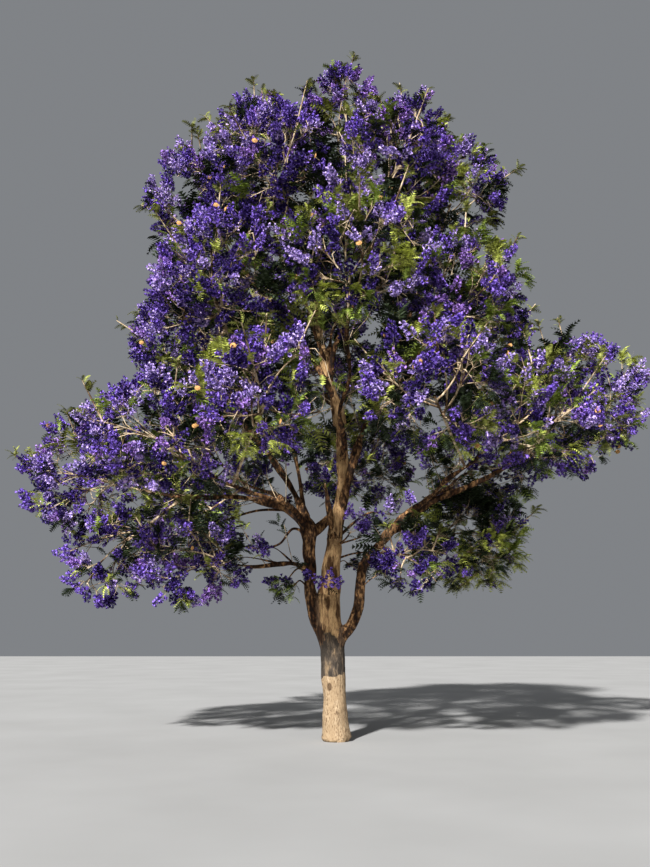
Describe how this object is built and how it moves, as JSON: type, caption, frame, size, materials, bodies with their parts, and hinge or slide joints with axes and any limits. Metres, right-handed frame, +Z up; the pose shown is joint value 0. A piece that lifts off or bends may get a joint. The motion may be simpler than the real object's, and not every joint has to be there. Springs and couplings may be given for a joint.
{
  "type": "jacaranda tree",
  "caption": "Jacaranda tree in full violet bloom: a short flared trunk, forked limbs and a tall rounded crown of blossom and ferny leaves.",
  "frame": {"origin": "middle of the flat cut under the trunk, at ground level", "axes": "+Z up; +X to the right and +Y away for someone who faces the side that the picture shows"},
  "size_m": [10.8211, 9.3319, 12.213],
  "materials": {
    "bark": "matt",
    "blossom": "matt",
    "foliage": "matt"
  },
  "bodies": {
    "root": {"back": "blossom", "back_bough": "bark", "back_left_bough": "bark", "back_right_bough": "bark", "back_upper_bough": "bark", "front_bough": "bark", "front_left": "blossom", "front_left_bough": "bark", "front_right": "blossom", "front_right_bough": "bark", "leader": "bark", "left_arch": "bark", "left_back": "blossom", "left_back_bough": "bark", "left_back_riser": "bark", "left_far": "blossom", "left_front": "blossom", "left_front_bough": "bark", "left_low_bough": "bark", "left_riser": "bark", "left_stem": "bark", "left_upper_bough": "bark", "middle_back": "blossom", "middle_front": "blossom", "middle_left": "blossom", "middle_left_back": "blossom", "middle_left_front": "blossom", "middle_right": "foliage", "middle_right_back": "blossom", "middle_right_front": "foliage", "right_back": "foliage", "right_back_bough": "bark", "right_far": "blossom", "right_front": "foliage", "right_front_bough": "bark", "right_limb_lower": "bark", "right_limb_upper": "bark", "right_low_bough": "bark", "right_riser": "bark", "right_riser_back": "bark", "right_riser_front": "bark", "right_side_bough": "bark", "right_spray_bough": "bark", "skirt_left": "blossom", "skirt_left_back": "blossom", "skirt_left_outer": "blossom", "skirt_right": "foliage", "skirt_right_front": "blossom", "top_left": "blossom", "top_left_bough": "bark", "top_middle": "blossom", "top_right": "blossom", "top_right_bough": "bark", "trunk": "bark", "upper_back_left": "blossom", "upper_back_right": "blossom", "upper_front_left": "blossom", "upper_front_right": "blossom", "upper_left": "blossom", "upper_right": "blossom"}
  },
  "joints": []
}
